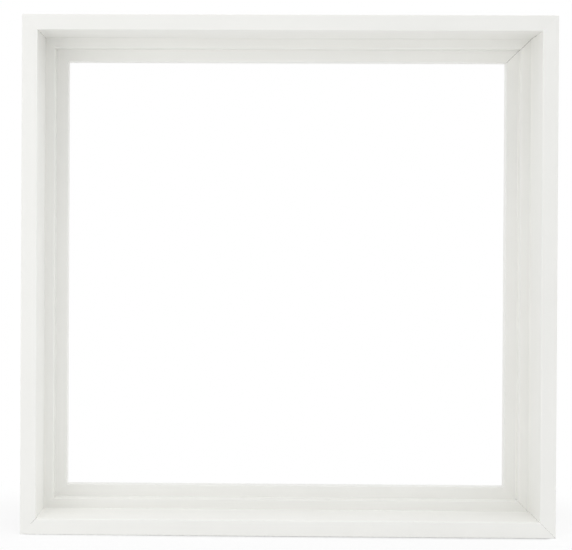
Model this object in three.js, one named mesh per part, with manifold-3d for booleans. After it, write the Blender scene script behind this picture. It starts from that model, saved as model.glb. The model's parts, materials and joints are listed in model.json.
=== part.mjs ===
// A floating picture frame for a stretched canvas or a panel. Four rails of one stepped
// moulding are mitred at the corners and held by V-nails driven from the back. Two strap
// hangers with swinging D-rings and two wall bumpers sit on the back.
// Millimetres, with X to the right, Z up and the front facing -Y. The frame stands on its
// bottom rail, and the origin is the middle of that rail's underside at half its depth.

import * as THREE from "three";
import { mergeVertices } from "three/addons/utils/BufferGeometryUtils.js";
import Module from "manifold-3d";

const wasm = await Module();
wasm.setup();

// Outside of the frame
const frameWidth = 340;
const frameHeight = 331;

// Moulding section: widths run inwards from the outer edge, depths back from the front
const lipWidth = 10;
const gapLedgeWidth = 6.5;
const seatLedgeWidth = 8;
const wellDepth = 34;
const seatDrop = 8;
const webThickness = 8;
const lipRound = 0.5;
const ledgeRound = 0.4;
const backRound = 0.8;
const rootFillet = 0.4;
const roundSteps = 8;
const glueLine = 0.3;

// V-nails, two to a corner: a tall one under the lip and a short one in the thin web
const nailSheet = 0.5;
const nailLeg = 5.5;
const nailFlare = 0.8;
const tallNailHeight = 12;
const shortNailHeight = 5;
const shortNailMargin = 3;
const nailSunk = 0.3;
const nailClearance = 0.15;

// Strap hangers
const hangerFromTop = 90;
const ringWire = 2;
const ringWidth = 17;
const ringCornerRadius = 2.2;
const ringSideLength = 5;
const ringWireSides = 10;
const ringSteps = 60;
const strapSheet = 0.8;
const strapWidth = 9.6;
const strapFoldGap = 0.15;
const screwRingGap = 0.3; // between the screw's head and the ring hanging beside it
const loopClearance = 0.3;
const loopSteps = 30;
const ringRestGap = 0.3;

// Hanger screws
const screwLength = 12;
const screwDiameter = 3;
const screwPointLength = 3;
const screwHeadDiameter = 6.4;
const screwHeadHeight = 2.1;
const screwHeadRim = 0.7;
const screwHoleClearance = 0.2;
const pilotClearance = 0.15;
const recessSpan = 3.6;
const recessSlot = 0.8;
const recessDepth = 1.3;
const screwSides = 28;

// Wall bumpers
const bumperDiameter = 11;
const bumperHeight = 3;
const bumperFromCorner = 45;
const bumperSides = 32;

const seatGap = 0.1; // between a piece and the flat face that it is fixed to
const overcut = 1; // how far a cutter starts outside what it cuts

// Worked out from the sizes above
const riserInset = lipWidth + gapLedgeWidth;
const railWidth = riserInset + seatLedgeWidth;
const seatDepth = wellDepth + seatDrop;
const railDepth = seatDepth + webThickness;
const frontY = -railDepth / 2;
const backY = railDepth / 2;
const thickInset = lipWidth + gapLedgeWidth / 2; // middle of the wood behind the gap ledge

const paintedWood = { color: 0xe9e9e4, roughness: 0.45, metalness: 0 };
const nailSteel = { color: 0x9a9c9e, roughness: 0.5, metalness: 0.9 };
const platedSteel = { color: 0xc4c6c8, roughness: 0.3, metalness: 1 };
const clearRubber = { color: 0xd9dad6, roughness: 0.6, metalness: 0 };

function meshOf(name, geometry, finish) {
  const mesh = new THREE.Mesh(geometry, new THREE.MeshStandardMaterial(finish));
  mesh.name = name;
  return mesh;
}

// A closed geometry as a solid that can be cut
function solidOf(geometry) {
  const bare = geometry.clone();
  bare.deleteAttribute("normal");
  bare.deleteAttribute("uv");
  const merged = mergeVertices(bare, 1e-4);
  return new wasm.Manifold(
    new wasm.Mesh({
      numProp: 3,
      vertProperties: merged.getAttribute("position").array,
      triVerts: new Uint32Array(merged.index.array),
    }),
  );
}

function geometryOf(solid) {
  const { vertProperties, triVerts } = solid.getMesh();
  const shared = new THREE.BufferGeometry()
    .setAttribute("position", new THREE.BufferAttribute(vertProperties, 3))
    .setIndex(new THREE.BufferAttribute(triVerts, 1));
  const faceted = shared.toNonIndexed();
  faceted.computeVertexNormals();
  return faceted;
}

function prism(outline, height, steps = 1) {
  return new THREE.ExtrudeGeometry(outline, {
    depth: height,
    bevelEnabled: false,
    curveSegments: steps,
  });
}

// The moulding's section, with x the distance inwards and y the depth from the front
function mouldingSection() {
  const half = Math.PI / 2;
  const outline = new THREE.Shape();
  outline.absarc(lipRound, lipRound, lipRound, -2 * half, -half);
  outline.absarc(lipWidth - lipRound, lipRound, lipRound, -half, 0);
  outline.absarc(lipWidth + rootFillet, wellDepth - rootFillet, rootFillet, 2 * half, half, true);
  outline.absarc(riserInset - ledgeRound, wellDepth + ledgeRound, ledgeRound, -half, 0);
  outline.absarc(riserInset + rootFillet, seatDepth - rootFillet, rootFillet, 2 * half, half, true);
  outline.absarc(railWidth - ledgeRound, seatDepth + ledgeRound, ledgeRound, -half, 0);
  outline.absarc(railWidth - backRound, railDepth - backRound, backRound, 0, half);
  outline.absarc(backRound, railDepth - backRound, backRound, half, 2 * half);
  outline.closePath();
  return outline;
}

// A rail with its outer edge along X at z = 0 and its section reaching inwards along +Z.
// Each end is drawn in by as much as the section reaches inwards, which mitres it.
function plainRail(length) {
  const geometry = prism(mouldingSection(), 1, roundSteps);
  const position = geometry.getAttribute("position");
  for (let i = 0; i < position.count; i++) {
    const inset = position.getX(i);
    const side = position.getZ(i) > 0.5 ? -1 : 1;
    const end = length / 2 - inset - glueLine * Math.SQRT1_2;
    position.setXYZ(i, side * end, frontY + position.getY(i), inset);
  }
  return geometry;
}

// The outline of a bent strip of sheet, from its centreline
function stripOutline(centreline, thickness, grow = 0) {
  const line = centreline.map(([x, y]) => new THREE.Vector2(x, y));
  const last = line.length - 1;
  const along = (i) => line[i + 1].clone().sub(line[i]).normalize();
  const directions = line.map((_, i) => [along(Math.max(i - 1, 0)), along(Math.min(i, last - 1))]);
  line[0].addScaledVector(directions[0][0], -grow);
  line[last].addScaledVector(directions[last][1], grow);
  const edge = (side) =>
    line.map((point, i) => {
      const [before, after] = directions[i].map((d) => new THREE.Vector2(-d.y, d.x));
      const offset = before.clone().add(after).divideScalar(1 + before.dot(after));
      return point.clone().addScaledVector(offset, (side * thickness) / 2);
    });
  return new THREE.Shape([...edge(-1), ...edge(1).reverse()]);
}

// A V-nail's plan, seen from the back, in the two distances from the frame's outer edges:
// its point lies on the mitre and its legs open towards the outer corner
function nailPlan(point, thickness, grow) {
  const tip = point - nailLeg - nailFlare;
  const turned = point + nailFlare;
  return stripOutline(
    [
      [tip, turned],
      [point - nailLeg, point],
      [point, point],
      [point, point - nailLeg],
      [turned, tip],
    ],
    thickness,
    grow,
  );
}

// A plan in the frame's plane becomes a prism that goes forward from y = 0
function sunkPrism(outline, depth) {
  return prism(outline, depth).rotateX(Math.PI / 2);
}

const nails = [
  { name: "outer", point: thickInset, height: tallNailHeight },
  { name: "inner", point: railWidth - shortNailMargin, height: shortNailHeight },
];

function nailGeometry({ point, height }) {
  return sunkPrism(nailPlan(point, nailSheet, 0), height).translate(0, backY - nailSunk, 0);
}

function nailSlot({ point, height }) {
  const plan = nailPlan(point, nailSheet + 2 * nailClearance, nailClearance);
  const depth = overcut + nailSunk + height + nailClearance;
  return sunkPrism(plan, depth).translate(0, backY + overcut, 0);
}

// Hanger sizes in a frame at the ring's pivot: X along the pivot, Y away from the wood
const loopBore = ringWire / 2 + loopClearance;
const loopRadius = loopBore + strapSheet;
const foldBottom = -loopBore + strapFoldGap;
const strapTop = foldBottom + strapSheet;
const ringHalf = (ringWidth - ringWire) / 2;
const ringReach = ringSideLength + ringHalf;
const strapScrewDistance = ringReach + (ringWire + screwHeadDiameter) / 2 + screwRingGap;
const strapEnd = strapScrewDistance + strapWidth / 2;
const ringRestHeight = strapTop + ringRestGap + ringWire / 2;
const ringRestTilt = Math.asin(ringRestHeight / ringReach);
const screwSeat = strapTop + seatGap;
const pivotY = backY + seatGap + loopRadius;
const pivotZ = frameHeight - hangerFromTop;
const screwReach = screwLength + backY - (pivotY + screwSeat); // how far it enters the wood

// A strip folded double round the ring, in a side view with x down the rail
function strapSideView() {
  const bottom = -Math.PI / 2;
  const outline = new THREE.Shape();
  outline.moveTo(0, -loopRadius);
  outline.lineTo(strapEnd, -loopRadius);
  outline.lineTo(strapEnd, -loopBore);
  outline.absarc(0, 0, loopBore, bottom, Math.asin(foldBottom / loopBore), true);
  outline.lineTo(strapEnd, foldBottom);
  outline.lineTo(strapEnd, strapTop);
  outline.absarc(0, 0, loopRadius, Math.asin(strapTop / loopRadius), bottom);
  return outline;
}

function strapPlan() {
  const side = strapWidth / 2;
  const outline = new THREE.Shape();
  outline.moveTo(side, -loopRadius - overcut);
  outline.absarc(0, strapScrewDistance, side, 0, Math.PI);
  outline.lineTo(-side, -loopRadius - overcut);
  outline.closePath();
  return outline;
}

function strapGeometry() {
  const folded = prism(strapSideView(), strapWidth + 2 * overcut, loopSteps)
    .translate(0, 0, -strapWidth / 2 - overcut)
    .rotateY(Math.PI / 2);
  const plan = prism(strapPlan(), 2 * (loopRadius + overcut), loopSteps)
    .translate(0, 0, -loopRadius - overcut)
    .rotateX(-Math.PI / 2);
  const holeRadius = screwDiameter / 2 + screwHoleClearance;
  const hole = new THREE.CylinderGeometry(holeRadius, holeRadius, 4 * loopRadius, screwSides);
  hole.translate(0, 0, -strapScrewDistance);
  return geometryOf(solidOf(folded).intersect(solidOf(plan)).subtract(solidOf(hole)));
}

// The D-ring's centreline: a straight bar through the strap's loop, and a bow below it
class RingCurve extends THREE.Curve {
  constructor() {
    super();
    const corner = ringHalf - ringCornerRadius;
    const quarter = Math.PI / 2;
    this.outline = new THREE.Path();
    this.outline.moveTo(-corner, 0);
    this.outline.absarc(corner, -ringCornerRadius, ringCornerRadius, quarter, 0, true);
    this.outline.absarc(0, -ringSideLength, ringHalf, 0, -2 * quarter, true);
    this.outline.absarc(-corner, -ringCornerRadius, ringCornerRadius, 2 * quarter, quarter, true);
  }
  getPoint(t) {
    const { x, y } = this.outline.getPoint(t);
    return new THREE.Vector3(x, 0, y);
  }
}

function ringGeometry() {
  return new THREE.TubeGeometry(new RingCurve(), ringSteps, ringWire / 2, ringWireSides, true);
}

// A turned piece about the Y axis, from half its outline as [radius, y] pairs, top last
function turned(outline, sides) {
  const points = outline.map(([radius, y]) => new THREE.Vector2(radius, y));
  return new THREE.LatheGeometry(points, sides);
}

// Points of a dome from its rim up to the axis
function dome(radius, rim, top, steps) {
  return Array.from({ length: steps + 1 }, (_, i) => {
    const angle = ((Math.PI / 2) * i) / steps;
    const reach = i === steps ? 0 : radius * Math.cos(angle);
    return [reach, rim + (top - rim) * Math.sin(angle)];
  });
}

// A pan-head wood screw with a cross recess, with the underside of its head at y = 0
function screwGeometry() {
  const core = screwDiameter / 2;
  const head = screwHeadDiameter / 2;
  const blank = turned(
    [
      [0, -screwLength],
      [core, screwPointLength - screwLength],
      [core, 0],
      [head, 0],
      ...dome(head, screwHeadRim, screwHeadHeight, 6),
    ],
    screwSides,
  );
  const recess = [0, Math.PI / 2].map((turn) =>
    solidOf(
      new THREE.BoxGeometry(recessSpan, 2 * recessDepth, recessSlot)
        .rotateY(turn)
        .translate(0, screwHeadHeight, 0),
    ),
  );
  return geometryOf(solidOf(blank).subtract(recess[0].add(recess[1])));
}

function bumperGeometry() {
  const radius = bumperDiameter / 2;
  return turned([[0, 0], [radius, 0], ...dome(radius, bumperHeight / 3, bumperHeight, 8)], bumperSides);
}

// A rail with its nail slots at both ends and a pilot hole at each distance along it
function cutRail(length, pilots) {
  let rail = solidOf(plainRail(length));
  for (const nail of nails) {
    const slot = solidOf(nailSlot(nail).translate(-length / 2, 0, 0));
    rail = rail.subtract(slot).subtract(slot.mirror([1, 0, 0]));
  }
  for (const along of pilots) {
    const radius = screwDiameter / 2 + pilotClearance;
    const depth = screwReach + pilotClearance;
    const pilot = new THREE.CylinderGeometry(radius, radius, depth + overcut, screwSides);
    pilot.translate(along, backY + (overcut - depth) / 2, thickInset);
    rail = rail.subtract(solidOf(pilot));
  }
  return geometryOf(rail);
}

const frame = new THREE.Group();

const screwZ = pivotZ - strapScrewDistance;
const fromMiddle = screwZ - frameHeight / 2;
const quarterTurn = Math.PI / 2;
const rails = [
  { name: "rail_bottom", length: frameWidth, at: [0, 0], turns: 0, pilots: [] },
  { name: "rail_right", length: frameHeight, at: [0.5, 0.5], turns: -1, pilots: [fromMiddle] },
  { name: "rail_top", length: frameWidth, at: [0, 1], turns: 2, pilots: [] },
  { name: "rail_left", length: frameHeight, at: [-0.5, 0.5], turns: 1, pilots: [-fromMiddle] },
];
for (const { name, length, at, turns, pilots } of rails) {
  const rail = meshOf(name, cutRail(length, pilots), paintedWood);
  rail.position.set(at[0] * frameWidth, 0, at[1] * frameHeight);
  rail.rotation.y = turns * quarterTurn;
  frame.add(rail);
}

const corners = [
  { name: "bottom_left", at: [-0.5, 0], turns: 0 },
  { name: "bottom_right", at: [0.5, 0], turns: -1 },
  { name: "top_right", at: [0.5, 1], turns: 2 },
  { name: "top_left", at: [-0.5, 1], turns: 1 },
];
for (const corner of corners) {
  const joint = new THREE.Group();
  joint.position.set(corner.at[0] * frameWidth, 0, corner.at[1] * frameHeight);
  joint.rotation.y = corner.turns * quarterTurn;
  for (const nail of nails) {
    joint.add(meshOf(`v_nail_${corner.name}_${nail.name}`, nailGeometry(nail), nailSteel));
  }
  frame.add(joint);
}

for (const [side, sign] of [
  ["left", -1],
  ["right", 1],
]) {
  const hanger = new THREE.Group();
  hanger.position.set(sign * (frameWidth / 2 - thickInset), pivotY, pivotZ);
  hanger.add(meshOf(`hanger_${side}_strap`, strapGeometry(), platedSteel));

  const ring = meshOf(`hanger_${side}_ring`, ringGeometry(), platedSteel);
  ring.rotation.x = ringRestTilt;
  hanger.add(ring);

  const screw = meshOf(`hanger_${side}_screw`, screwGeometry(), platedSteel);
  screw.position.set(0, screwSeat, -strapScrewDistance);
  hanger.add(screw);
  frame.add(hanger);

  const bumper = meshOf(`bumper_${side}`, bumperGeometry(), clearRubber);
  bumper.position.set(sign * (frameWidth / 2 - bumperFromCorner), backY + seatGap, railWidth / 2);
  frame.add(bumper);
}

export default frame;
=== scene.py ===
# Floating picture frame: an empty off-white floater frame that stands on a white sweep.
# Metres, in the frame's own axes: X to the right, Z up, and the front faces -Y.

import json
import math

import bmesh
import bpy
from mathutils import Matrix, Vector


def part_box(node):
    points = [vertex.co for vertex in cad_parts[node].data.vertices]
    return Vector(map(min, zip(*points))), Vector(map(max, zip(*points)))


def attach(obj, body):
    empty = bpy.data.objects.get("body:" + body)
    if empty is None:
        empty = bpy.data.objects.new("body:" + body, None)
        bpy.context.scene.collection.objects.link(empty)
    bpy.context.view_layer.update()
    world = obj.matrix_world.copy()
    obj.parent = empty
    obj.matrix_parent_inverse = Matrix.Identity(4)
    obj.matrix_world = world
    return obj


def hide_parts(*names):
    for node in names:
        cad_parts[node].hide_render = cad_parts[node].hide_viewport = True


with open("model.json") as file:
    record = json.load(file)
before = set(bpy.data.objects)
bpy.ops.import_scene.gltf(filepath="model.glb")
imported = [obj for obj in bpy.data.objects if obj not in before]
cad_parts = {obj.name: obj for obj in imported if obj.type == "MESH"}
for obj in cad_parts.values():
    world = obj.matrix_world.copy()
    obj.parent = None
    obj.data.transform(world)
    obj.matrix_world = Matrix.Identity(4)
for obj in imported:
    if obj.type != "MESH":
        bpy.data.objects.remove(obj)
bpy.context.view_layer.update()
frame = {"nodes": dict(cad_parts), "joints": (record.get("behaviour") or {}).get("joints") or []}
mm = 0.001
weldReach = 0.001 * mm  # points nearer to each other than this become one
placeReach = 0.01 * mm  # how far off a point may lie and still count as at its place

frontPlane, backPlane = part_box("rail_bottom")[0].y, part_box("rail_bottom")[1].y
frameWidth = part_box("rail_right")[1].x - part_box("rail_left")[0].x
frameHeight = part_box("rail_top")[1].z
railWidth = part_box("rail_bottom")[1].z
railDepth = backPlane - frontPlane
sides = ["left", "right"]
print("frame loaded:", len(frame["nodes"]), "nodes")


# Node helpers: each adds one node and gives back its output

def link(tree, value, socket):
    if isinstance(value, bpy.types.NodeSocket):
        tree.links.new(value, socket)
    else:
        socket.default_value = value


def addMath(tree, operation, *values):
    node = tree.nodes.new("ShaderNodeMath")
    node.operation = operation
    for socket, value in zip(node.inputs, values):
        link(tree, value, socket)
    return node.outputs[0]


def addVectorMath(tree, operation, *values):
    node = tree.nodes.new("ShaderNodeVectorMath")
    node.operation = operation
    for socket, value in zip(node.inputs, values):
        link(tree, value, socket)
    return node.outputs["Value" if operation == "DISTANCE" else "Vector"]


# Goes from low to high while the value goes from start to end
def addRamp(tree, value, start, end, low=0.0, high=1.0, kind="SMOOTHSTEP"):
    node = tree.nodes.new("ShaderNodeMapRange")
    node.interpolation_type = kind
    for label, number in (("From Min", start), ("From Max", end), ("To Min", low), ("To Max", high)):
        node.inputs[label].default_value = number
    tree.links.new(value, node.inputs["Value"])
    return node.outputs["Result"]


def addBlend(tree, factor, first, second):
    node = tree.nodes.new("ShaderNodeMix")
    node.data_type = "RGBA"
    tree.links.new(factor, node.inputs[0])
    for socket, colour in ((node.inputs[6], first), (node.inputs[7], second)):
        link(tree, (*colour, 1) if isinstance(colour, tuple) else colour, socket)
    return node.outputs[2]


def addShaderMix(tree, factor, first, second):
    node = tree.nodes.new("ShaderNodeMixShader")
    for socket, value in zip(node.inputs, (factor, first, second)):
        tree.links.new(value, socket)
    return node.outputs[0]


def addBump(tree, height, distance, under=None):
    node = tree.nodes.new("ShaderNodeBump")
    node.inputs["Distance"].default_value = distance
    tree.links.new(height, node.inputs["Height"])
    if under is not None:
        tree.links.new(under, node.inputs["Normal"])
    return node.outputs["Normal"]


def addSplit(tree, vector):
    node = tree.nodes.new("ShaderNodeSeparateXYZ")
    tree.links.new(vector, node.inputs[0])
    return node.outputs


def addAttribute(tree, name, output):
    node = tree.nodes.new("ShaderNodeAttribute")
    node.attribute_name = name
    return node.outputs[output]


# Camera, lamps and floor

cameraSetup = {
    "besideMiddle": -32.4 * mm,  # the lens stands a little left of the frame's middle
    "aboveMiddle": 21.3 * mm,
    "distance": 835.2 * mm,  # lens to the front of the lip
    "turn": 0.0133,  # turned, tipped and rolled, in radians
    "tip": -0.0062,
    "roll": 0.0051,
    "sensorWidth": 36,
    "lens": 82.89,
    "shift": (0.1154, -0.0437),
}

studio = {
    "ambient": (0.985, 0.99, 1, 1),
    "ambientStrength": 0.455,
    # how much more light the room sends from one side: axis, end of the axis, strength
    "brighterSides": {"left": ("X", -1, 0.34), "right": ("X", 1, 0.81), "behind": ("Y", 1, 0.18)},
    "lampSize": 1.2,
    "lamps": {"overheadLamp": ((0, -0.5, 2.2), 13), "leftLamp": ((-0.9, -0.95, 0.17), 4)},
    "floorSize": 8,
    "floorColour": (0.92, 0.92, 0.92),
    # the lens sees plain white, but for a painted contact shadow, a darker floor colour along the frame's
    # foot, and a faint real shadow round the frame
    "paintedContactShadow": (0.72, 0.72, 0.72),
    "contactReach": 7.5 * mm,
    "paintedShadowLeftEnd": 0.15,  # the painted shadow line is fainter at its left end, and full half way along
    "shadowShare": 0.25,
    "shadowReach": (25 * mm, 130 * mm),
}


def makeCamera():
    setup = cameraSetup
    data = bpy.data.cameras.new("viewCamera")
    data.sensor_fit = "HORIZONTAL"
    data.sensor_width = setup["sensorWidth"]
    data.lens = setup["lens"]
    data.shift_x, data.shift_y = setup["shift"]
    camera = bpy.data.objects.new("viewCamera", data)
    camera.location = (
        setup["besideMiddle"], frontPlane - setup["distance"], frameHeight / 2 + setup["aboveMiddle"])
    turned = Matrix.Rotation(setup["turn"], 3, "Z") @ Matrix.Rotation(math.pi / 2 + setup["tip"], 3, "X")
    camera.rotation_euler = (turned @ Matrix.Rotation(setup["roll"], 3, "Z")).to_euler()
    bpy.context.collection.objects.link(camera)
    bpy.context.scene.camera = camera


def makeLamp(name, place, power):
    data = bpy.data.lights.new(name, "AREA")
    data.shape = "DISK"
    data.size = studio["lampSize"]
    data.energy = power
    lamp = bpy.data.objects.new(name, data)
    lamp.location = place
    aim = Vector((0, 0, frameHeight / 2)) - lamp.location
    lamp.rotation_euler = aim.to_track_quat("-Z", "Y").to_euler()
    bpy.context.collection.objects.link(lamp)


# 1 where the lens, a reflection or a refraction looks, and 0 for light that bounces
def seenDirectly(tree):
    path = tree.nodes.new("ShaderNodeLightPath").outputs
    mirrored = addMath(tree, "MAXIMUM", path["Is Camera Ray"], path["Is Glossy Ray"])
    return addMath(tree, "MAXIMUM", mirrored, path["Is Transmission Ray"])


def makeWorld():
    world = bpy.data.worlds.new("whiteRoom")
    world.use_nodes = True
    bpy.context.scene.world = world
    tree = world.node_tree
    room = tree.nodes["Background"]
    room.inputs["Color"].default_value = studio["ambient"]
    toward = addSplit(tree, tree.nodes.new("ShaderNodeTexCoord").outputs["Generated"])
    strength = studio["ambientStrength"]
    for axis, end, more in studio["brighterSides"].values():
        side = addRamp(tree, toward[axis], 0, end, 0, more, kind="LINEAR")
        strength = addMath(tree, "ADD", side, strength)
    tree.links.new(strength, room.inputs["Strength"])
    white = tree.nodes.new("ShaderNodeBackground")
    white.inputs["Color"].default_value = (1, 1, 1, 1)
    mixed = addShaderMix(tree, seenDirectly(tree), room.outputs[0], white.outputs[0])
    tree.links.new(mixed, tree.nodes["World Output"].inputs["Surface"])


def makeFloor():
    bm = bmesh.new()
    bmesh.ops.create_grid(bm, x_segments=1, y_segments=1, size=studio["floorSize"] / 2)
    mesh = bpy.data.meshes.new("floor")
    bm.to_mesh(mesh)
    bm.free()
    floor = bpy.data.objects.new("floor", mesh)
    bpy.context.collection.objects.link(floor)
    material = bpy.data.materials.new("whiteSweep")
    material.use_nodes = True
    tree = material.node_tree
    tree.nodes.clear()

    # how far a place lies from the strip that the frame stands on
    place = tree.nodes.new("ShaderNodeTexCoord").outputs["Object"]
    folded = addVectorMath(tree, "ABSOLUTE", place)
    contact = studio["contactReach"]
    strip = addVectorMath(tree, "MINIMUM", folded, (frameWidth / 2 - contact, railDepth / 2, 0))
    away = addVectorMath(tree, "DISTANCE", folded, strip)

    seen = seenDirectly(tree)
    # painted contact shadow: the floor's colour darkens in a line along the frame's foot, for the lens only
    paintedShadeAlong = addRamp(tree, addSplit(tree, place)["X"], -frameWidth / 2, 0, studio["paintedShadowLeftEnd"], 1)
    line = addMath(tree, "MULTIPLY", paintedShadeAlong, addRamp(tree, away, 0, contact, 1, 0))
    seenPaintedShade = addMath(tree, "MULTIPLY", seen, line)
    floorWithPaintedShade = addBlend(tree, seenPaintedShade, studio["floorColour"], studio["paintedContactShadow"])
    near, far = studio["shadowReach"]
    shadow = addRamp(tree, away, near, far, 1 - studio["shadowShare"], 1)
    share = addMath(tree, "MINIMUM", addRamp(tree, away, 0, contact), shadow)

    matte = tree.nodes.new("ShaderNodeBsdfDiffuse")
    tree.links.new(floorWithPaintedShade, matte.inputs["Color"])
    white = tree.nodes.new("ShaderNodeEmission")
    white.inputs["Color"].default_value = (1, 1, 1, 1)
    seenShare = addMath(tree, "MULTIPLY", seen, share)
    mixed = addShaderMix(tree, seenShare, matte.outputs[0], white.outputs[0])
    out = tree.nodes.new("ShaderNodeOutputMaterial")
    tree.links.new(mixed, out.inputs["Surface"])
    floor.data.materials.append(material)


makeCamera()
makeWorld()
makeFloor()
for lampName, (lampPlace, lampPower) in studio["lamps"].items():
    makeLamp(lampName, lampPlace, lampPower)
print("camera, lamps and floor set")


# Shader groups that several finishes share

def newGroup(name, inputs, output):
    group = bpy.data.node_groups.new(name, "ShaderNodeTree")
    for label, kind, value in inputs:
        socket = group.interface.new_socket(label, in_out="INPUT", socket_type=kind)
        if value is not None:
            socket.default_value = value
    group.interface.new_socket(output, in_out="OUTPUT", socket_type="NodeSocketFloat")
    return group, group.nodes.new("NodeGroupInput"), group.nodes.new("NodeGroupOutput")


# Soft clouds from 0 to 1, for slow changes of tone and sheen
def makeClouds():
    inputs = [
        ("Vector", "NodeSocketVector", None),
        ("Scale", "NodeSocketFloat", 30),
        ("Contrast", "NodeSocketFloat", 2),
    ]
    group, given, result = newGroup("clouds", inputs, "Cloud")
    noise = group.nodes.new("ShaderNodeTexNoise")
    noise.inputs["Detail"].default_value = 4
    group.links.new(given.outputs["Vector"], noise.inputs["Vector"])
    group.links.new(given.outputs["Scale"], noise.inputs["Scale"])
    centred = addMath(group, "SUBTRACT", noise.outputs["Fac"], 0.5)
    widened = addMath(group, "MULTIPLY_ADD", centred, given.outputs["Contrast"], 0.5)
    widened.node.use_clamp = True
    group.links.new(widened, result.inputs["Cloud"])
    return group


# Lines drawn out along the first coordinate, as wood grain and rolled sheet have
def makeDrawnLines():
    inputs = [
        ("Vector", "NodeSocketVector", None),
        ("Along", "NodeSocketFloat", 8),
        ("Across", "NodeSocketFloat", 900),
        ("Detail", "NodeSocketFloat", 4),
    ]
    group, given, result = newGroup("drawnLines", inputs, "Line")
    stretch = group.nodes.new("ShaderNodeCombineXYZ")
    for axis, label in (("X", "Along"), ("Y", "Across"), ("Z", "Across")):
        group.links.new(given.outputs[label], stretch.inputs[axis])
    noise = group.nodes.new("ShaderNodeTexNoise")
    noise.inputs["Scale"].default_value = 1
    noise.inputs["Roughness"].default_value = 0.6
    scaled = addVectorMath(group, "MULTIPLY", given.outputs["Vector"], stretch.outputs[0])
    group.links.new(scaled, noise.inputs["Vector"])
    group.links.new(given.outputs["Detail"], noise.inputs["Detail"])
    group.links.new(noise.outputs["Fac"], result.inputs["Line"])
    return group


clouds = makeClouds()
drawnLines = makeDrawnLines()


def newMaterial(name, roughness, metallic=0.0):
    material = bpy.data.materials.new(name)
    material.use_nodes = True
    tree = material.node_tree
    surface = tree.nodes["Principled BSDF"]
    surface.inputs["Roughness"].default_value = roughness
    surface.inputs["Metallic"].default_value = metallic
    return material, tree, surface


def addGroup(tree, group, vector, **values):
    node = tree.nodes.new("ShaderNodeGroup")
    node.node_tree = group
    tree.links.new(vector, node.inputs["Vector"])
    for label, value in values.items():
        node.inputs[label].default_value = value
    return node.outputs[0]


# Off-white lacquer on the show faces, and bare wood with some overspray on the back.
# The rails carry their own coordinates: X along the rail, Y back and Z inwards.
lacquer = {
    "light": (0.895, 0.892, 0.86),
    "dark": (0.878, 0.875, 0.842),
    "tone": {"Scale": 22, "Contrast": 2.2},
    "roughness": (0.36, 0.46),
    "sheen": {"Scale": 60, "Contrast": 2},
    "drag": {"Along": 9, "Across": 620, "Detail": 1},  # faint lines along the rail
    "dragHeight": 0.003 * mm,
    "peel": {"Scale": 650, "Contrast": 1},  # the fine skin of sprayed lacquer
    "peelHeight": 0.006 * mm,
    "woodLight": (0.68, 0.53, 0.36),
    "woodDark": (0.5, 0.35, 0.2),
    "sawnGlueAndShade": (0.11, 0.085, 0.06),  # cut ends, dark with glue and with painted shade in the mitre gaps
    "woodRoughness": 0.78,
    "rings": {"Along": 2.5, "Across": 130},
    "pores": {"Along": 45, "Across": 2600},
    "poreShare": 0.35,
    "darkToLight": (0.36, 0.6),
    "fibreHeight": 0.12 * mm,
    "bareBefore": (0.3 * mm, 0.05 * mm),  # the lacquer ends between these distances from the back
    "oversprayFade": 2.6 * mm,
    "wave": {"Scale": 40, "Contrast": 1.4},
    "waveReach": 1.6 * mm,
    "speckle": {"Scale": 1600, "Contrast": 3},
    "speckleReach": 2.4 * mm,
}


def makeLacquer():
    look = lacquer
    material, tree, surface = newMaterial("whiteLacquer", look["roughness"][0])
    where = addAttribute(tree, "railPlace", "Vector")
    _, depth, inset = addSplit(tree, where)

    tone = addGroup(tree, clouds, where, **look["tone"])
    paint = addBlend(tree, tone, look["dark"], look["light"])

    rings = addGroup(tree, drawnLines, where, **look["rings"])
    pores = addGroup(tree, drawnLines, where, **look["pores"])
    ringPart = addMath(tree, "MULTIPLY", rings, 1 - look["poreShare"])
    fibres = addMath(tree, "MULTIPLY_ADD", pores, look["poreShare"], ringPart)
    wood = addBlend(tree, addRamp(tree, fibres, *look["darkToLight"]), look["woodDark"], look["woodLight"])

    # overspray reaches in from both edges of the back
    fromInner = addMath(tree, "SUBTRACT", railWidth, inset)
    fromEdge = addMath(tree, "MINIMUM", inset, fromInner)
    wave = addMath(tree, "MULTIPLY", addGroup(tree, clouds, where, **look["wave"]), look["waveReach"])
    speckle = addGroup(tree, clouds, where, **look["speckle"])
    reach = addMath(tree, "MULTIPLY_ADD", speckle, look["speckleReach"], wave)
    pastMist = addMath(tree, "SUBTRACT", fromEdge, reach)
    clear = addRamp(tree, pastMist, -look["oversprayFade"] / 2, look["oversprayFade"] / 2)
    onBack = addRamp(tree, depth, *[backPlane - before for before in look["bareBefore"]])
    cutFace = addAttribute(tree, "rawWood", "Fac")
    bare = addMath(tree, "MAXIMUM", addMath(tree, "MULTIPLY", clear, onBack), cutFace)

    # cut faces get the dark sawn colour: glue, and painted shade for the dark mitre lines
    wood = addBlend(tree, cutFace, wood, look["sawnGlueAndShade"])
    tree.links.new(addBlend(tree, bare, paint, wood), surface.inputs["Base Color"])
    sheen = addRamp(tree, addGroup(tree, clouds, where, **look["sheen"]), 0, 1, *look["roughness"])
    rough = addMath(tree, "MAXIMUM", sheen, addMath(tree, "MULTIPLY", bare, look["woodRoughness"]))
    tree.links.new(rough, surface.inputs["Roughness"])

    drag = addGroup(tree, drawnLines, where, **look["drag"])
    peel = addGroup(tree, clouds, where, **look["peel"])
    painted = addMath(tree, "SUBTRACT", 1, bare)
    dragged = addBump(tree, drag, look["dragHeight"])
    peeled = addBump(tree, addMath(tree, "MULTIPLY", peel, painted), look["peelHeight"], under=dragged)
    fibred = addBump(tree, addMath(tree, "MULTIPLY", fibres, bare), look["fibreHeight"], under=peeled)
    tree.links.new(fibred, surface.inputs["Normal"])
    return material


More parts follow.
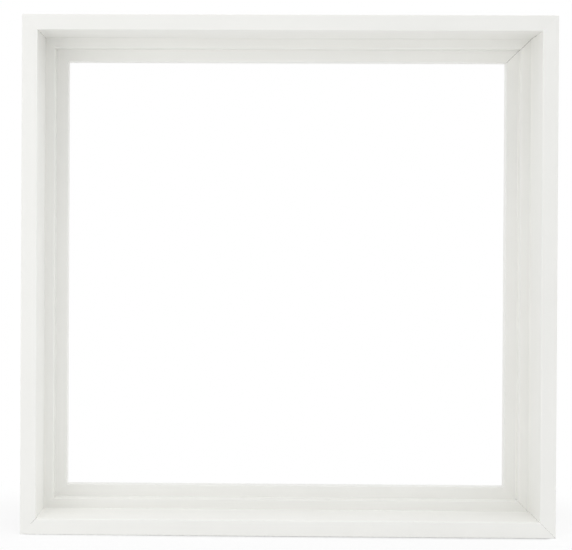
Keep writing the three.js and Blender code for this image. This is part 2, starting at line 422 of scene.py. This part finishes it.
# Zinc-plated and spring steel, in Object coordinates
platedSteel = {
    "name": "platedSteel",
    "light": (0.78, 0.79, 0.8),
    "dark": (0.64, 0.66, 0.69),
    "stain": {"Scale": 160, "Contrast": 2.4},
    "roughness": (0.2, 0.36),
    "haze": {"Scale": 480, "Contrast": 2},
    "rolled": {"Along": 700, "Across": 9000},
    "rolledHeight": 0.004 * mm,
}
springSteel = {
    "name": "springSteel",
    "light": (0.5, 0.5, 0.51),
    "dark": (0.33, 0.33, 0.35),
    "stain": {"Scale": 260, "Contrast": 2.4},
    "roughness": (0.38, 0.58),
    "haze": {"Scale": 780, "Contrast": 2},
    "rolled": {"Along": 700, "Across": 9000},
    "rolledHeight": 0.008 * mm,
}


def makeSteel(look):
    material, tree, surface = newMaterial(look["name"], look["roughness"][0], metallic=1.0)
    where = tree.nodes.new("ShaderNodeTexCoord").outputs["Object"]
    stain = addGroup(tree, clouds, where, **look["stain"])
    tree.links.new(addBlend(tree, stain, look["dark"], look["light"]), surface.inputs["Base Color"])
    haze = addGroup(tree, clouds, where, **look["haze"])
    tree.links.new(addRamp(tree, haze, 0, 1, *look["roughness"]), surface.inputs["Roughness"])
    rolled = addGroup(tree, drawnLines, where, **look["rolled"])
    tree.links.new(addBump(tree, rolled, look["rolledHeight"]), surface.inputs["Normal"])
    return material


rubber = {
    "light": (0.86, 0.87, 0.85),
    "dark": (0.76, 0.77, 0.73),
    "milk": {"Scale": 240, "Contrast": 2},
    "roughness": (0.28, 0.5),
    "dust": {"Scale": 900, "Contrast": 2.5},
    "dustHeight": 0.01 * mm,
    "clearness": 0.45,
    "refraction": 1.48,
}


def makeRubber():
    look = rubber
    material, tree, surface = newMaterial("clearRubber", look["roughness"][0])
    surface.inputs["Transmission Weight"].default_value = look["clearness"]
    surface.inputs["IOR"].default_value = look["refraction"]
    where = tree.nodes.new("ShaderNodeTexCoord").outputs["Object"]
    milk = addGroup(tree, clouds, where, **look["milk"])
    tree.links.new(addBlend(tree, milk, look["dark"], look["light"]), surface.inputs["Base Color"])
    dust = addGroup(tree, clouds, where, **look["dust"])
    tree.links.new(addRamp(tree, dust, 0, 1, *look["roughness"]), surface.inputs["Roughness"])
    tree.links.new(addBump(tree, dust, look["dustHeight"]), surface.inputs["Normal"])
    return material


finishes = {
    "white_lacquer": makeLacquer(),
    "plated_steel": makeSteel(platedSteel),
    "nail_steel": makeSteel(springSteel),
    "clear_rubber": makeRubber(),
}
print("finishes made:", ", ".join(finishes))


# Mesh helpers

def newPiece(name, bm):
    mesh = bpy.data.meshes.new(name)
    bm.to_mesh(mesh)
    bm.free()
    piece = bpy.data.objects.new(name, mesh)
    bpy.context.collection.objects.link(piece)
    return piece


def vertsOf(geometry):
    return [part for part in geometry if isinstance(part, bmesh.types.BMVert)]


def edgesOf(geometry):
    return [part for part in geometry if isinstance(part, bmesh.types.BMEdge)]


def middleOf(edge):
    return (edge.verts[0].co + edge.verts[1].co) / 2


def bevelEdges(bm, edges, width, segments):
    return bmesh.ops.bevel(
        bm, geom=edges, offset=width, offset_type="OFFSET", affect="EDGES", segments=segments,
        profile=0.5, material=-1)["faces"]


def cutAway(piece, cutters):
    for cutter in cutters:
        cut = piece.modifiers.new("cut", "BOOLEAN")
        cut.operation = "DIFFERENCE"
        cut.solver = "EXACT"
        cut.object = cutter
    evaluated = piece.evaluated_get(bpy.context.evaluated_depsgraph_get())
    remaining = bpy.data.meshes.new_from_object(evaluated)
    piece.modifiers.clear()
    piece.data = remaining
    for cutter in cutters:
        bpy.data.objects.remove(cutter)


# A round bar along Y, to drill with
def drillBit(centre, radius, depth, sides):
    bm = bmesh.new()
    turned = Matrix.Translation(centre) @ Matrix.Rotation(math.pi / 2, 4, "X")
    bmesh.ops.create_cone(
        bm, cap_ends=True, segments=sides, radius1=radius, radius2=radius, depth=depth, matrix=turned)
    return bm


# A half outline of (radius, height) pairs, turned about Z
def lathe(outline, sides):
    bm = bmesh.new()
    line = [bm.verts.new((radius, 0, height)) for radius, height in outline]
    for first, second in zip(line, line[1:]):
        bm.edges.new((first, second))
    bmesh.ops.spin(
        bm, geom=bm.verts[:] + bm.edges[:], cent=(0, 0, 0), axis=(0, 0, 1), angle=2 * math.pi,
        steps=sides, use_merge=True)
    bmesh.ops.remove_doubles(bm, verts=bm.verts, dist=weldReach)
    bmesh.ops.recalc_face_normals(bm, faces=bm.faces)
    return bm


def shadeSmooth(piece, angle):
    piece.data.shade_smooth()
    piece.data.set_sharp_from_angle(angle=math.radians(angle))
    weighted = piece.modifiers.new("weightedNormal", "WEIGHTED_NORMAL")
    weighted.keep_sharp = True


# Edges sharper than the angle get a narrow round
def breakEdges(piece, width, angle=40, segments=2):
    weld = piece.modifiers.new("weld", "WELD")
    weld.merge_threshold = weldReach
    broken = piece.modifiers.new("edgeBreak", "BEVEL")
    broken.limit_method = "ANGLE"
    broken.angle_limit = math.radians(angle)
    broken.width = width
    broken.segments = segments
    broken.harden_normals = True


def fit(piece, body, slot, node):
    piece.data.materials.clear()
    piece.data.materials.append(finishes[slot])
    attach(piece, body)
    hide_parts(node)


# Rails: one stepped moulding, drawn square, rounded along its edges and mitred at its ends

moulding = {
    "lipWidth": 10 * mm,
    "gapLedge": 6.5 * mm,
    "wellDepth": 34 * mm,
    "seatDepth": 42 * mm,
    "lipRound": 0.5 * mm,
    "ledgeRound": 0.4 * mm,
    "backRound": 0.8 * mm,
    "rootFillet": 0.4 * mm,
    "roundSegments": 6,
    "smoothAngle": 32,  # degrees, as on the other pieces
    "grainShift": 0.7,  # metres along the grain, so that no two rails have the same
    # extra edges along the rail, at a share of the lip and on the wall, between which lacquer may be cracked
    "lipSplit": 0.7,
    "wallSplits": (4 * mm, 17 * mm),
    "crackSegments": 3,
    "crackStop": 1 * mm,  # from the back
    # Each mitre's gap at the front and at the back, how wide the lacquer is cracked off its edges,
    # and where, counted over the steps from the outer edge: lip, wall, ledge, riser, seat
    "mitres": {
        "bottom_left": {
            "gap": (0.002 * mm, 0.002 * mm), "cracked": 0.06 * mm, "open": (7 * mm, 13 * mm)},
        "bottom_right": {
            "gap": (0.004 * mm, 0.002 * mm), "cracked": 0.036 * mm, "open": (0, 59 * mm)},
        "top_right": {
            "gap": (0.002 * mm, 0.03 * mm), "cracked": 0.075 * mm, "open": (21 * mm, 67 * mm)},
        "top_left": {
            "gap": (0.002 * mm, 0.002 * mm), "cracked": 0.035 * mm, "open": (9.5 * mm, 44.4 * mm)},
    },
}
nailSlots = {
    "leg": 5.5 * mm,
    "flare": 0.8 * mm,
    "width": 0.8 * mm,
    "endClearance": 0.15 * mm,
    "above": 1 * mm,  # how far the cutter stands out of the back
    # the place of the point from both outer edges, and how deep the slot goes
    "outer": {"point": 13.25 * mm, "depth": 12.45 * mm},
    "inner": {"point": 21.5 * mm, "depth": 5.45 * mm},
}
pilotHole = {"radius": 1.65 * mm, "depth": 10.2 * mm, "above": 1 * mm, "sides": 28}

# where the middle of each rail's outer edge lies, and how it is turned about Y
halfWidth, halfHeight = frameWidth / 2, frameHeight / 2
railRuns = [
    {"name": "rail_bottom", "middle": (0, 0, 0), "quarterTurns": 0,
     "ends": ("bottom_left", "bottom_right")},
    {"name": "rail_right", "middle": (halfWidth, 0, halfHeight), "quarterTurns": -1,
     "ends": ("bottom_right", "top_right")},
    {"name": "rail_top", "middle": (0, 0, frameHeight), "quarterTurns": 2,
     "ends": ("top_right", "top_left")},
    {"name": "rail_left", "middle": (-halfWidth, 0, halfHeight), "quarterTurns": 1,
     "ends": ("top_left", "bottom_left")},
]


def plainRail(length):
    m = moulding
    riser = m["lipWidth"] + m["gapLedge"]
    upperSplit, lowerSplit = m["wallSplits"]
    # each corner's inset, depth and rounding
    corners = [
        (0, 0, "lipRound"),
        (m["lipSplit"] * m["lipWidth"], 0, None),
        (m["lipWidth"], 0, "lipRound"),
        (m["lipWidth"], upperSplit, None),
        (m["lipWidth"], lowerSplit, None),
        (m["lipWidth"], m["wellDepth"], "rootFillet"),
        (riser, m["wellDepth"], "ledgeRound"),
        (riser, m["seatDepth"], "rootFillet"),
        (railWidth, m["seatDepth"], "ledgeRound"),
        (railWidth, railDepth, "backRound"),
        (0, railDepth, "backRound"),
    ]
    bm = bmesh.new()
    bm.faces.layers.float.new("rawWood")
    outline = [bm.verts.new((-length / 2, frontPlane + depth, inset)) for inset, depth, _ in corners]
    section = bm.faces.new(outline)
    grown = bmesh.ops.extrude_face_region(bm, geom=[section])["geom"]
    bmesh.ops.translate(bm, verts=vertsOf(grown), vec=(length, 0, 0))
    bmesh.ops.recalc_face_normals(bm, faces=bm.faces)
    for inset, depth, rounding in corners:
        if rounding is None:
            continue
        middle = Vector((0, frontPlane + depth, inset))
        long = [edge for edge in bm.edges if (middleOf(edge) - middle).length < placeReach]
        bevelEdges(bm, long, m[rounding], m["roundSegments"])
    return bm


# The cut face is bare wood, and so are its edges where the lacquer has cracked; both take the dark sawn
# colour, which is glue and painted shade in the mitre gap
def mitreEnd(bm, length, side, corner):
    raw = bm.faces.layers.float["rawWood"]
    mitre = moulding["mitres"][corner]
    frontGap, backGap = mitre["gap"]
    start, end = mitre["open"]
    reach = length / 2 - frontGap / math.sqrt(2)
    across = Vector((side, (backGap - frontGap) / math.sqrt(2) / railDepth, 1)).normalized()
    cut = bmesh.ops.bisect_plane(
        bm, geom=bm.verts[:] + bm.edges[:] + bm.faces[:], plane_co=(side * reach, frontPlane, 0),
        plane_no=across, clear_outer=True)
    rim = edgesOf(cut["geom_cut"])
    bmesh.ops.holes_fill(bm, edges=rim)
    cracked = []
    for edge in rim:
        middle = middleOf(edge)
        depth, inset = middle.y - frontPlane, middle.z
        onSteps = inset > weldReach and depth < railDepth - moulding["crackStop"]
        if onSteps and start < depth + inset < end:
            cracked.append(edge)
    chipped = bevelEdges(bm, cracked, mitre["cracked"], moulding["crackSegments"])
    bm.normal_update()
    flush = 0.9999  # faces turned this much alike are in the cut
    for face in chipped + [face for face in bm.faces if abs(face.normal.dot(across)) > flush]:
        face[raw] = 1


# What a cutter leaves behind is bare wood
def markRaw(bm):
    raw = bm.faces.layers.float.new("rawWood")
    for face in bm.faces:
        face[raw] = 1


# A V-nail's slot at one end of a rail: a bent strip, given its width by Solidify
def nailSlotCutter(length, side, place):
    s = nailSlots
    point, depth = s[place]["point"], s[place]["depth"]
    legEnd = point - s["leg"]
    tip, turned = legEnd - s["flare"], point + s["flare"]
    bm = bmesh.new()
    plan = [(tip, turned), (legEnd, point), (point, point), (point, legEnd), (turned, tip)]
    stretch = Vector((-s["endClearance"], s["endClearance"])) / math.sqrt(2)
    plan[0] = Vector(plan[0]) + stretch
    plan[-1] = Vector(plan[-1]) - stretch
    top = backPlane + s["above"]
    line = [bm.verts.new((side * (length / 2 - a), top, b)) for a, b in plan]
    for first, second in zip(line, line[1:]):
        bm.edges.new((first, second))
    grown = bmesh.ops.extrude_edge_only(bm, edges=bm.edges[:])["geom"]
    bmesh.ops.translate(bm, verts=vertsOf(grown), vec=(0, -s["above"] - depth, 0))
    bmesh.ops.recalc_face_normals(bm, faces=bm.faces)
    markRaw(bm)
    cutter = newPiece("slotCutter", bm)
    wall = cutter.modifiers.new("wall", "SOLIDIFY")
    wall.thickness = s["width"]
    wall.offset = 0
    wall.use_even_offset = True
    return cutter


def pilotCutter(along):
    p = pilotHole
    length = p["depth"] + p["above"]
    across = moulding["lipWidth"] + moulding["gapLedge"] / 2
    centre = (along, backPlane + p["above"] - length / 2, across)
    bm = drillBit(centre, p["radius"], length, p["sides"])
    markRaw(bm)
    return newPiece("pilotCutter", bm)


def makeRail(run):
    upright = run["quarterTurns"] % 2 == 1
    length = frameHeight if upright else frameWidth
    bm = plainRail(length)
    for side, corner in zip((-1, 1), run["ends"]):
        mitreEnd(bm, length, side, corner)
    bmesh.ops.recalc_face_normals(bm, faces=bm.faces)
    piece = newPiece(run["name"] + "_lacquered", bm)
    cutters = [nailSlotCutter(length, side, place) for side in (-1, 1) for place in ("outer", "inner")]
    if upright:
        screwLow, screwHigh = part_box("hanger_left_screw")
        screwHeight = (screwLow.z + screwHigh.z) / 2 - halfHeight
        cutters.append(pilotCutter(-run["quarterTurns"] * screwHeight))
    cutAway(piece, cutters)

    mesh = piece.data
    place = mesh.attributes.new("railPlace", "FLOAT_VECTOR", "POINT")
    shift = Vector((run["quarterTurns"] * moulding["grainShift"], 0, 0))
    for vertex, value in zip(mesh.vertices, place.data):
        value.vector = vertex.co + shift
    turn = Matrix.Rotation(run["quarterTurns"] * math.pi / 2, 4, "Y")
    mesh.transform(Matrix.Translation(run["middle"]) @ turn)
    shadeSmooth(piece, moulding["smoothAngle"])
    fit(piece, "frame", "white_lacquer", run["name"])


for run in railRuns:
    makeRail(run)
print("rails made:", len(railRuns))


# Hanger rings: a round bar bent to a D, its straight bar in the strap's loop

ringBend = {
    "wire": 2 * mm,
    "width": 17 * mm,
    "cornerRadius": 2.2 * mm,
    "sideLength": 5 * mm,
    "wireSides": 20,
    "cornerSteps": 8,
    "bowSteps": 32,
    "smoothAngle": 60,
}


def extrudeBy(bm, edges, move):
    grown = bmesh.ops.extrude_edge_only(bm, edges=edges)["geom"]
    moved = vertsOf(grown)
    bmesh.ops.translate(bm, verts=moved, vec=move)
    return [e for e in edgesOf(grown) if e.verts[0] in moved and e.verts[1] in moved]


def spinBy(bm, edges, centre, angle, steps, axis=(0, 1, 0)):
    ends = list(dict.fromkeys(v for e in edges for v in e.verts))
    spun = bmesh.ops.spin(
        bm, geom=ends + edges, cent=centre, axis=axis, angle=angle, steps=steps, use_merge=False)
    return edgesOf(spun["geom_last"])


def pivotOf(side):
    return Vector(next(j for j in frame["joints"] if j["name"] == f"{side}_ring_swing")["pos_m"])


def makeRing(side):
    b = ringBend
    half = (b["width"] - b["wire"]) / 2
    corner = half - b["cornerRadius"]
    leg = b["sideLength"] - b["cornerRadius"]
    bm = bmesh.new()
    bmesh.ops.create_circle(
        bm, segments=b["wireSides"], radius=b["wire"] / 2, matrix=Matrix.Rotation(math.pi / 2, 4, "Y"))
    loop = extrudeBy(bm, bm.edges[:], (corner, 0, 0))
    loop = spinBy(bm, loop, (corner, 0, -b["cornerRadius"]), math.pi / 2, b["cornerSteps"])
    loop = extrudeBy(bm, loop, (0, 0, -leg))
    loop = spinBy(bm, loop, (0, 0, -b["sideLength"]), math.pi, b["bowSteps"])
    loop = extrudeBy(bm, loop, (0, 0, leg))
    loop = spinBy(bm, loop, (-corner, 0, -b["cornerRadius"]), math.pi / 2, b["cornerSteps"])
    extrudeBy(bm, loop, (corner, 0, 0))
    bmesh.ops.remove_doubles(bm, verts=bm.verts, dist=weldReach)
    bmesh.ops.recalc_face_normals(bm, faces=bm.faces)

    # the bow stands clear of the strap below it, so the ring leans out a little
    node = f"hanger_{side}_ring"
    pivot = pivotOf(side)
    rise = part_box(node)[1].y - pivot.y - b["wire"] / 2
    lean = Matrix.Rotation(math.asin(rise / (half + b["sideLength"])), 4, "X")
    bmesh.ops.transform(bm, matrix=Matrix.Translation(pivot) @ lean, verts=bm.verts)
    ring = newPiece(node + "_bent", bm)
    shadeSmooth(ring, b["smoothAngle"])
    fit(ring, f"ring_{side}", "plated_steel", node)


for side in sides:
    makeRing(side)
print("hanger rings made:", len(sides))


# Hanger straps: a strip of sheet folded double round the ring's bar, and round at its end

strap = {
    "sheet": 0.8 * mm,
    "foldGap": 0.15 * mm,
    "throatBend": 0.9 * mm,  # where the upper layer leaves the loop, to the sheet's middle
    "loopSteps": 40,
    "throatSteps": 10,
    "endRound": 0.999,  # of half the width, so that the two rounds don't meet in a point
    "endSegments": 16,
    "holeRadius": 1.7 * mm,
    "holeSides": 36,
    "edgeBreak": 0.12 * mm,
}


def makeStrap(side):
    s = strap
    node = f"hanger_{side}_strap"
    low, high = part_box(node)
    pivot = pivotOf(side)
    width = high.x - low.x
    loop = pivot.y - low.y - s["sheet"] / 2  # radius of the sheet's middle round the bar
    upper = s["sheet"] + s["foldGap"] - loop
    length = pivot.z - low.z
    throat = math.asin((upper + s["throatBend"]) / (loop + s["throatBend"]))
    throatPlace = (loop + s["throatBend"]) * math.cos(throat)
    across = (1, 0, 0)
    bm = bmesh.new()
    line = [bm.verts.new((x, -loop, -length)) for x in (-width / 2, width / 2)]
    first = bm.edges.new(line)
    strip = extrudeBy(bm, [first], (0, 0, length))
    strip = spinBy(bm, strip, (0, 0, 0), throat - 1.5 * math.pi, s["loopSteps"], across)
    bendCentre = (0, upper + s["throatBend"], -throatPlace)
    strip = spinBy(bm, strip, bendCentre, math.pi / 2 - throat, s["throatSteps"], across)
    extrudeBy(bm, strip, (0, 0, throatPlace - length))
    bmesh.ops.remove_doubles(bm, verts=bm.verts, dist=weldReach)
    corners = [v for v in bm.verts if v.co.z < placeReach - length]
    bmesh.ops.bevel(
        bm, geom=corners, offset=s["endRound"] * width / 2, offset_type="OFFSET", affect="VERTICES",
        segments=s["endSegments"], profile=0.5, material=-1)
    bmesh.ops.recalc_face_normals(bm, faces=bm.faces)
    bmesh.ops.translate(bm, verts=bm.verts, vec=pivot)
    piece = newPiece(node + "_folded", bm)
    sheet = piece.modifiers.new("sheet", "SOLIDIFY")
    sheet.thickness = s["sheet"]
    sheet.offset = 0
    sheet.use_even_offset = True
    screwLow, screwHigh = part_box(f"hanger_{side}_screw")
    hole = ((screwLow.x + screwHigh.x) / 2, pivot.y, (screwLow.z + screwHigh.z) / 2)
    drill = drillBit(hole, s["holeRadius"], 4 * loop, s["holeSides"])
    cutAway(piece, [newPiece("strapHoleCutter", drill)])
    piece.data.shade_smooth()
    breakEdges(piece, s["edgeBreak"])
    fit(piece, "frame", "plated_steel", node)


for side in sides:
    makeStrap(side)
print("hanger straps made:", len(sides))


# Hanger screws: a pan head with a tapered cross recess, and a threaded shank

screw = {
    "length": 12 * mm,
    "coreRadius": 1.1 * mm,
    "crestRadius": 1.48 * mm,
    "pitch": 1.3 * mm,
    "crestSharpness": 2.2,
    "plainNeck": 1.4 * mm,
    "neckRadius": 0.92,  # of the crest's
    "neckRise": 0.3 * mm,
    "pointLength": 3 * mm,
    "pointRows": 18,
    "threadRow": 0.16 * mm,
    "headRadius": 3.2 * mm,
    "headRim": 0.7 * mm,
    "headHeight": 2.1 * mm,
    "headSteps": 10,
    "underRound": 0.15 * mm,
    "sides": 36,
    "recessSpan": 3.5 * mm,
    "recessSlot": 0.78 * mm,
    "recessDepth": 1.3 * mm,
    "recessTaper": (0.45, 0.7),  # what is left of its span and slot at the bottom
    "drivenTo": {"left": 0.35, "right": -0.9},  # each was driven to its own stop
    "smoothAngle": 35,
}


# Raises a helical ridge out of the plain shank
def raiseThread(bm):
    s = screw
    for vertex in bm.verts:
        height = vertex.co.z
        radius = math.hypot(vertex.co.x, vertex.co.y)
        if height > -s["plainNeck"] or radius < placeReach:
            continue
        turn = math.atan2(vertex.co.y, vertex.co.x) / (2 * math.pi)
        phase = (height / s["pitch"] + turn) % 1
        ridge = max(0, 1 - abs(2 * phase - 1) * s["crestSharpness"])
        runOut = min(1, (-s["plainNeck"] - height) / s["pitch"])
        full = s["coreRadius"] + (s["crestRadius"] - s["coreRadius"]) * ridge * runOut
        factor = full / s["coreRadius"]
        vertex.co.x *= factor
        vertex.co.y *= factor


def recessCutter(turn):
    s = screw
    bm = bmesh.new()
    block = Matrix.Diagonal((s["recessSpan"], s["recessSlot"], 2 * s["recessDepth"], 1))
    bmesh.ops.create_cube(bm, size=1, matrix=block)
    bottom = [vertex for vertex in bm.verts if vertex.co.z < 0]
    bmesh.ops.scale(bm, vec=(*s["recessTaper"], 1), verts=bottom)
    bmesh.ops.rotate(bm, verts=bm.verts, matrix=Matrix.Rotation(turn, 3, "Z"))
    bmesh.ops.translate(bm, verts=bm.verts, vec=(0, 0, s["headHeight"]))
    return newPiece("recessCutter", bm)


def makeScrew(side):
    s = screw
    core, tip, start = s["coreRadius"], -s["length"], s["pointLength"] - s["length"]
    rows = int((s["length"] - s["pointLength"] - s["plainNeck"]) / s["threadRow"])
    shares = [i / s["pointRows"] for i in range(s["pointRows"])]
    point = [(core * share, tip + s["pointLength"] * share) for share in shares]
    shank = [(core, start + (-s["plainNeck"] - start) * i / rows) for i in range(rows + 1)]
    neckRadius = s["crestRadius"] * s["neckRadius"]
    neck = [(neckRadius, s["neckRise"] - s["plainNeck"]), (neckRadius, 0)]
    rise = s["headHeight"] - s["headRim"]
    under = [(s["headRadius"] - s["underRound"], 0), (s["headRadius"], s["underRound"])]
    quarter = [math.pi / 2 * i / s["headSteps"] for i in range(s["headSteps"])]
    head = [(s["headRadius"] * math.cos(a), s["headRim"] + rise * math.sin(a)) for a in quarter]
    bm = lathe(point + shank + neck + under + head + [(0, s["headHeight"])], s["sides"])
    raiseThread(bm)
    node = f"hanger_{side}_screw"
    piece = newPiece(node + "_turned", bm)
    cutAway(piece, [recessCutter(math.pi / 4), recessCutter(-math.pi / 4)])
    low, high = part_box(node)
    seat = Vector(((low.x + high.x) / 2, high.y - s["headHeight"], (low.z + high.z) / 2))
    spin = Matrix.Rotation(s["drivenTo"][side], 4, "Z")
    piece.data.transform(Matrix.Translation(seat) @ Matrix.Rotation(-math.pi / 2, 4, "X") @ spin)
    shadeSmooth(piece, s["smoothAngle"])
    fit(piece, "frame", "plated_steel", node)


for side in sides:
    makeScrew(side)
print("hanger screws made:", len(sides))


# Wall bumpers: a soft dome with a thin foot

bumper = {
    "radius": 5.5 * mm,
    "height": 3 * mm,
    "footHeight": 0.35 * mm,
    "footRound": 0.08 * mm,
    "domeInset": 0.35 * mm,
    "domeFullness": 0.75,  # under 1 is fuller than a quarter of an ellipse
    "sides": 48,
    "steps": 14,
    "smoothAngle": 40,
}


def makeBumper(side):
    b = bumper
    radius, footHeight, rounding = b["radius"], b["footHeight"], b["footRound"]
    foot = [
        (0, 0),
        (radius - rounding, 0),
        (radius, rounding),
        (radius, footHeight - rounding),
        (radius - rounding, footHeight),
    ]
    shoulder = radius - b["domeInset"]
    rise = b["height"] - footHeight
    quarter = [math.pi / 2 * i / b["steps"] for i in range(b["steps"])]
    dome = [(shoulder * math.cos(a) ** b["domeFullness"], footHeight + rise * math.sin(a)) for a in quarter]
    bm = lathe(foot + dome + [(0, b["height"])], b["sides"])
    node = f"bumper_{side}"
    low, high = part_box(node)
    seat = Vector(((low.x + high.x) / 2, low.y, (low.z + high.z) / 2))
    turn = Matrix.Rotation(-math.pi / 2, 4, "X")
    bmesh.ops.transform(bm, matrix=Matrix.Translation(seat) @ turn, verts=bm.verts)
    piece = newPiece(node + "_moulded", bm)
    shadeSmooth(piece, b["smoothAngle"])
    fit(piece, "frame", "clear_rubber", node)


for side in sides:
    makeBumper(side)
print("wall bumpers made:", len(sides))


# V-nails keep their CAD shape, with their sharp edges broken

nailEdgeBreak = 0.05 * mm

for node in frame["nodes"]:
    if node.startswith("v_nail"):
        nail = frame["nodes"][node]
        nail.data.materials.clear()
        nail.data.materials.append(finishes["nail_steel"])
        breakEdges(nail, nailEdgeBreak)
print("V-nails dressed")


bpy.context.scene.view_settings.view_transform = "Standard"
